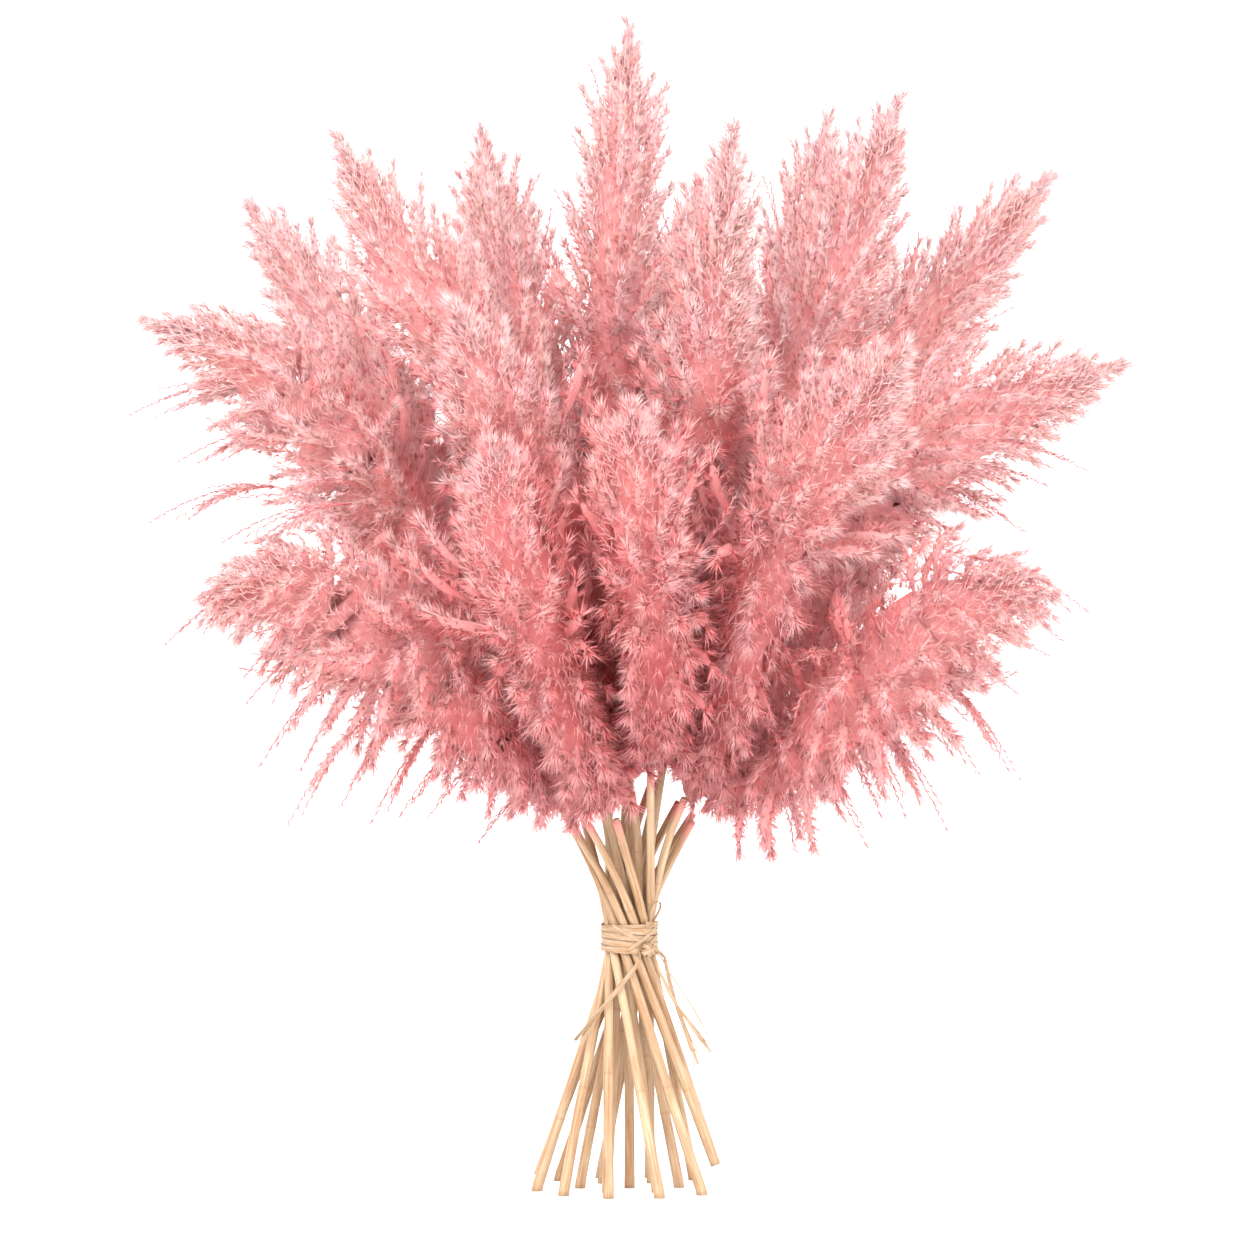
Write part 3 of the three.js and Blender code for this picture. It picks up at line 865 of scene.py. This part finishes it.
def look_out(outside, middle, radial, least):
    """How far a plume reaches from its middle that way, and the gap to the next one, if any."""
    room = outside.ray_cast(middle, radial)[3] or least
    gap = all_heads.ray_cast(middle + radial * (room + 0.5 * MM), radial, SHELTER_REACH)[3]
    return room, gap


def smooth_step(low, high, value):
    """From 0 at low to 1 at high, gently at both ends."""
    share = min(max((value - low) / (high - low), 0), 1)
    return share * share * (3 - 2 * share)


LEAST_ROOM = 4 * MM  # for a branch where the plume has no outside to reach, as past its tip
FREE_REACH = 27 * MM  # the furthest out that a branch goes with no neighbour in its way
LOW_REACH = 25 * MM  # how much further those below a leaning plume hang
HAIR_REACH = 4 * MM  # a branch stops this much short, and its hairs go the rest of the way
FREE_LEAN = math.radians(27)  # off the plume's own line, of a branch end that doesn't droop
LEAD = (60 * MM, -14 * MM)  # how far below its end a branch leaves the stalk, upright and drooping


def branch_line(axis, outside, share, turn, reach, fuller, draw):
    """A branch from the plume's stalk, out to the plume's outside, with its end drooping there.
    It also says whether a neighbour is near: 0 for none, 1 for near and 2 for close enough to
    hide it."""
    middle = Vector(axis.at(share))
    along = Vector(axis.heading(share))
    radial = tilted(along, math.pi / 2, turn)
    room, gap = look_out(outside, middle, radial, LEAST_ROOM)
    near = 0 if gap is None else 2 if gap < SHELTERED else 1
    to_tip = (1 - share) * axis.length
    if gap is None:
        inward = Vector((-middle.x, -middle.y, 0))
        over = inward.normalized().dot(radial) * min(inward.length / (80 * MM), 1.0)
        room = max(room * (1 + 0.12 * over), min(0.72 * to_tip, FREE_REACH) * (1 + 0.3 * over))
        low = smooth_step(0.33, 0.52, 1 - along.z) * max(0.0, -radial.z)
        low *= smooth_step(0.02, 0.12, share) * (1 - smooth_step(0.45, 0.8, share))
        room += fuller * MM * math.sin(math.pi * share) + low * LOW_REACH
    else:
        room = max(room + min(0.62 * gap, 16 * MM), min(0.72 * to_tip, 0.6 * gap))
    room = max(room - HAIR_REACH, 2 * MM) * reach
    end = middle + radial * room
    lie = 1 - max(0.0, radial.z)
    droop = (0.95 * (1 - smooth_step(0.3, 0.78, share)) + draw.uniform(-0.12, 0.12)) * lie
    droop = min(max(droop + 0.5 * (1 - abs(along.z)) ** 1.5, 0.0), 1.0)
    free = along * math.cos(FREE_LEAN) + radial * math.sin(FREE_LEAN)
    hanging = Vector((0, 0, -1)) + radial * 0.35
    final = (free * (1 - droop) + hanging * droop).normalized()
    lead = between(LEAD, droop) * draw.uniform(0.85, 1.15)
    begin_share = min(max(share - lead / axis.length, 0.0), 1.0)
    begin = Vector(axis.at(begin_share))
    span = (end - begin).length
    setting_out = along * 0.8 * (1 - droop) + radial * 0.6 + Vector((0, 0, 0.3)) * droop
    first = begin + setting_out * (0.4 * span)
    second = end - final * (0.42 * span)
    t = np.linspace(0, 1, 9)[:, None]
    places = (
        np.array(begin) * (1 - t) ** 3
        + 3 * np.array(first) * t * (1 - t) ** 2
        + 3 * np.array(second) * t**2 * (1 - t)
        + np.array(end) * t**3
    )
    return places, radial, near


FREE_SHARE = 0.7  # of a branch shorter than the pattern, along which the pattern keeps its size


def add_branch(bm, pattern, working, places, radial, girth):
    """Lays a pattern along a branch, full size at the tip and drawn together where it is short."""
    line = Line(places)
    shape = patterns[pattern]
    from_tip = -shape[:, 2]
    free = FREE_SHARE * line.length
    share = 1 - from_tip / line.length
    if line.length < TASSEL_LENGTH:
        packed = (1 - FREE_SHARE) * (TASSEL_LENGTH - from_tip) / (TASSEL_LENGTH - free)
        share = np.where(from_tip > free, packed, share)
    laid = lay_along(line, share, shape[:, 0] * girth, shape[:, 1] * girth, np.array(radial))
    set_places(working[pattern], laid)
    bm.from_mesh(working[pattern])


# The branches that stand out of a head by themselves: where each leaves it and where its tip is,
# in mm from the middle of the floor.
LOOSE_TWIGS = {
    "plume_outer_07": (
        ((-224, -5, 478), (-301, -5, 464)), ((-205, -5, 472), (-283, -5, 479)),
        ((-197, -7, 455), (-272, -7, 436)), ((-215, -7, 420), (-290, -7, 399)),
        ((-176, -8, 406), (-253, -8, 420)), ((-34, -19, 261), (-92, -19, 209)),
    ),
    "plume_outer_08": (
        ((-163, -124, 407), (-237, -124, 385)), ((-202, -127, 368), (-269, -127, 327)),
        ((-167, -120, 372), (-233, -120, 331)), ((-163, -113, 356), (-225, -113, 308)),
        ((-167, -103, 317), (-217, -103, 256)), ((-163, -107, 341), (-224, -107, 293)),
        ((-156, -92, 283), (-202, -92, 221)), ((-126, -85, 296), (-171, -85, 232)),
        ((-110, -77, 287), (-154, -77, 222)), ((-61, -67, 277), (-120, -67, 226)),
        ((-152, -98, 319), (-194, -98, 253)), ((-86, -73, 284), (-137, -73, 226)),
    ),
    "plume_outer_01": (
        ((195, -3, 445), (271, -3, 430)), ((194, -4, 447), (270, -4, 465)),
        ((170, -3, 430), (247, -3, 421)), ((161, -2, 425), (232, -2, 394)),
    ),
    "plume_outer_12": (
        ((189, -128, 377), (260, -128, 345)), ((178, -126, 369), (244, -126, 329)),
        ((163, -121, 344), (237, -121, 320)), ((153, -100, 337), (221, -100, 298)),
        ((177, -96, 309), (224, -96, 247)), ((152, -84, 310), (201, -84, 250)),
        ((140, -68, 282), (183, -68, 217)), ((122, -61, 294), (159, -61, 225)),
        ((93, -47, 271), (137, -47, 207)), ((56, -35, 274), (104, -35, 213)),
        ((142, -90, 319), (207, -90, 276)), ((107, -53, 294), (145, -53, 225)),
    ),
}


TWIG_PARTS = (0.0, 0.16, 0.27, 0.4)  # how much shorter than the twig each of its parts is
TWIG_SPREAD = 5 * MM


def add_twig(bm, working, foot, end, draw):
    """A loose branch: its own tip, two shorter ones beside it and a soft lower part."""
    for k, short in enumerate(TWIG_PARTS):
        away = Vector([draw.uniform(-1, 1) for _ in range(3)]) * TWIG_SPREAD * (k > 0)
        tip = end + (foot - end) * short + away
        arch = Vector((0, 0, 1)) * (0.09 * (tip - foot).length)
        t = np.linspace(0, 1, 7)[:, None]
        bow = np.sin(np.pi * t) * np.array(arch)
        places = np.array(foot) * (1 - t) + np.array(tip) * t + bow
        radial = (tip - foot).orthogonal().normalized()
        pattern = draw.choice(sprays if k < 3 else full_tassels)
        add_branch(bm, pattern, working, places, radial, 1.0 if k < 3 else 0.7)


def add_tufts(bm, axis, outside, working, count, draw):
    """Hair all over the packed down, which fills in between the branches."""
    for k in range(count):
        share = 0.05 + 0.9 * (k + draw.uniform(0, 1)) / count
        middle = Vector(axis.at(share))
        along = Vector(axis.heading(share))
        radial = tilted(along, math.pi / 2, k * GOLDEN)
        room, gap = look_out(outside, middle, radial, LEAST_ROOM)
        hang = (1 - smooth_step(0.3, 0.78, share)) * (1 - max(0.0, radial.z))
        aim = (radial * 0.62 + along * (1 - hang) + Vector((0, 0, -1)) * hang).normalized()
        root = middle + radial * (room * TRUNK_SHARE)
        turned = np.array(aim.to_track_quat("Z", "Y").to_matrix())
        # Where a neighbouring head is close, the tufts with painted shade are used.
        pattern = draw.choice(tufts if gap is None or gap > SHELTERED else shaded_tufts)
        set_places(working[pattern], patterns[pattern] @ turned.T + np.array(root))
        bm.from_mesh(working[pattern])


def add_trunk(bm, axis, outside, draw):
    """The packed down round the plume's own stalk."""
    core = bmesh.new()
    core.loops.layers.uv.new("OFBake")
    bmesh.ops.create_cone(
        core, cap_ends=True, segments=TRUNK_SIDES, radius1=1.0, radius2=1.0, depth=1.0
    )
    uprights = [e for e in core.edges if abs(e.verts[0].co.z - e.verts[1].co.z) > 0.5]
    bmesh.ops.subdivide_edges(core, edges=uprights, cuts=TRUNK_CUTS, use_grid_fill=True)
    bmesh.ops.triangulate(core, faces=core.faces)
    tint = core.loops.layers.uv.verify()
    for vert in core.verts:
        share = 0.03 + 0.9 * (vert.co.z + 0.5)
        middle = Vector(axis.at(share))
        radial = tilted(Vector(axis.heading(share)), math.pi / 2, math.atan2(vert.co.y, vert.co.x))
        room, gap = look_out(outside, middle, radial, TRUNK_LEAST)
        lump = draw.uniform(0.75, 1.0)
        end = math.sin(math.pi * min(max(vert.co.z + 0.5, 0.02), 0.98)) ** 0.35
        vert.co = middle + radial * (room * TRUNK_SHARE * lump * end)
        tone = draw.uniform(*DOWN_TONES)
        for loop in vert.link_loops:
            # The down is painted deep, and deeper where a neighbouring head is close: painted shade
            # of the plume's inside.
            loop[tint].uv = (tone, 0.26 if gap is None or gap > SHELTERED else 0.1)
    bmesh.ops.recalc_face_normals(core, faces=core.faces)
    mesh = to_mesh(core, "trunk")
    bm.from_mesh(mesh)
    bpy.data.meshes.remove(mesh)


# Heads at the front, which take the hair painted lighter: painted light.
PAINTED_LIT_HEADS = {"plume_inner_05", "plume_inner_06", "plume_outer_11"}
SOFT_HEADS = PAINTED_LIT_HEADS | {"plume_outer_09", "plume_outer_10"}
SOFT_GIRTH = 1.25  # their hair stands this much further off the branches


def make_plume(node, seed, tone):
    """One head: its packed middle, the hair on that, full, thin and feathery branches, twigs."""
    draw = random.Random(1000 + seed)
    axis, corners, area = head_shapes[node]
    outside = BVHTree.FromPolygons(corners, head_faces[node])
    working = {pattern: pattern.copy() for pattern in patterns}
    bm = bmesh.new()
    add_trunk(bm, axis, outside, draw)
    add_tufts(bm, axis, outside, working, round(area / AREA_PER_TUFT), draw)
    count = round(area / AREA_PER_TASSEL)
    fuller = BODY_LEAN.get(node, (0, 0, 0))[2]
    for k in range(count):
        share = 0.05 + 0.95 * ((k + draw.uniform(0.1, 0.9)) / count) ** 0.95
        turn = k * GOLDEN + draw.uniform(-0.3, 0.3)
        reach = draw.uniform(0.84, 1.08)
        places, radial, near = branch_line(axis, outside, share, turn, reach, fuller, draw)
        girth = between((1.1, 0.75), smooth_step(0.5, 1.0, share)) * draw.uniform(0.85, 1.15)
        if node in SOFT_HEADS:
            girth *= SOFT_GIRTH
        # Every free branch is full. With a neighbour near, every other one is thin, with painted
        # shade, and where it hides them the rest are left out.
        if near + k % 2 < 2:
            add_branch(bm, draw.choice(full_tassels), working, places, radial, girth)
        elif k % 2:
            add_branch(bm, draw.choice(thin_tassels), working, places, radial, girth)
    few = round(count * SPRAYS_PER_TASSEL)
    for k in range(few):
        share = 0.1 + 0.9 * (k + draw.uniform(0.1, 0.9)) / few
        turn = k * GOLDEN + draw.uniform(-0.5, 0.5)
        reach = draw.uniform(1.1, 1.35)
        places, radial, near = branch_line(axis, outside, share, turn, reach, fuller, draw)
        if near < 2:
            add_branch(bm, draw.choice(sprays), working, places, radial, 1.0)
    for foot, end in LOOSE_TWIGS.get(node, ()):
        add_twig(bm, working, Vector(foot) * MM, Vector(end) * MM, draw)
    for mesh in working.values():
        bpy.data.meshes.remove(mesh)
    piece = to_object(bm, node.replace("plume", "plume_head"), plume_tones[tone])
    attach(piece, "root")
    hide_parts(node)


for seed, node in enumerate(heads):
    make_plume(node, seed, "pale" if node in PAINTED_LIT_HEADS else "rose")

for mesh in patterns:
    bpy.data.meshes.remove(mesh)

# ------------------------------------------------------------------------------------------------
# The floor, the light and the camera. The floor is one wide matt sheet, all but white. A big soft
# lamp at the left and a weaker one at the right stand in front, in an even white room, and a long
# lens looks level at the bundle from three metres.

FLOOR_REACH = 30
FLOOR_PAINT = {
    "Base Color": (0.95, 0.95, 0.95, 1),
    "Roughness": 0.9,
    "Emission Color": (1, 1, 1, 1),
    "Emission Strength": 0.1,
}
ROOM_LIGHT = 1.98
LIT_AT = (0, 0, 0.4)

floor_material, floor_shade = new_material("pale_floor")
finish_material(floor_shade, floor_shade.add("ShaderNodeBsdfPrincipled", {}, FLOOR_PAINT))
floor_mesh = bmesh.new()
bmesh.ops.create_grid(floor_mesh, x_segments=1, y_segments=1, size=FLOOR_REACH)
floor = to_object(floor_mesh, "floor", floor_material)

world = bpy.data.worlds.new("studio")
world.use_nodes = True
backdrop = world.node_tree.nodes["Background"]
backdrop.inputs["Color"].default_value = (1, 1, 1, 1)
backdrop.inputs["Strength"].default_value = ROOM_LIGHT
bpy.context.scene.world = world


def soft_light(name, place, size, power):
    lamp = bpy.data.lights.new(name, "AREA")
    lamp.shape = "DISK"
    lamp.size = size
    lamp.energy = power
    held = bpy.data.objects.new(name, lamp)
    held.location = place
    held.rotation_euler = (Vector(LIT_AT) - Vector(place)).to_track_quat("-Z", "Y").to_euler()
    bpy.context.scene.collection.objects.link(held)


soft_light("key", (-1.0, -2.4, 2.2), size=2.0, power=72)
soft_light("fill", (1.9, -1.9, 1.3), size=2.0, power=20)

view = bpy.data.cameras.new("view")
view.lens = 143.5
view.clip_end = 100
camera = bpy.data.objects.new("view", view)
camera.location = (-0.0045, -3.0, 0.336)
camera.rotation_euler = (math.pi / 2, 0, 0)
bpy.context.scene.collection.objects.link(camera)
bpy.context.scene.camera = camera
bpy.context.scene.view_settings.view_transform = "Standard"
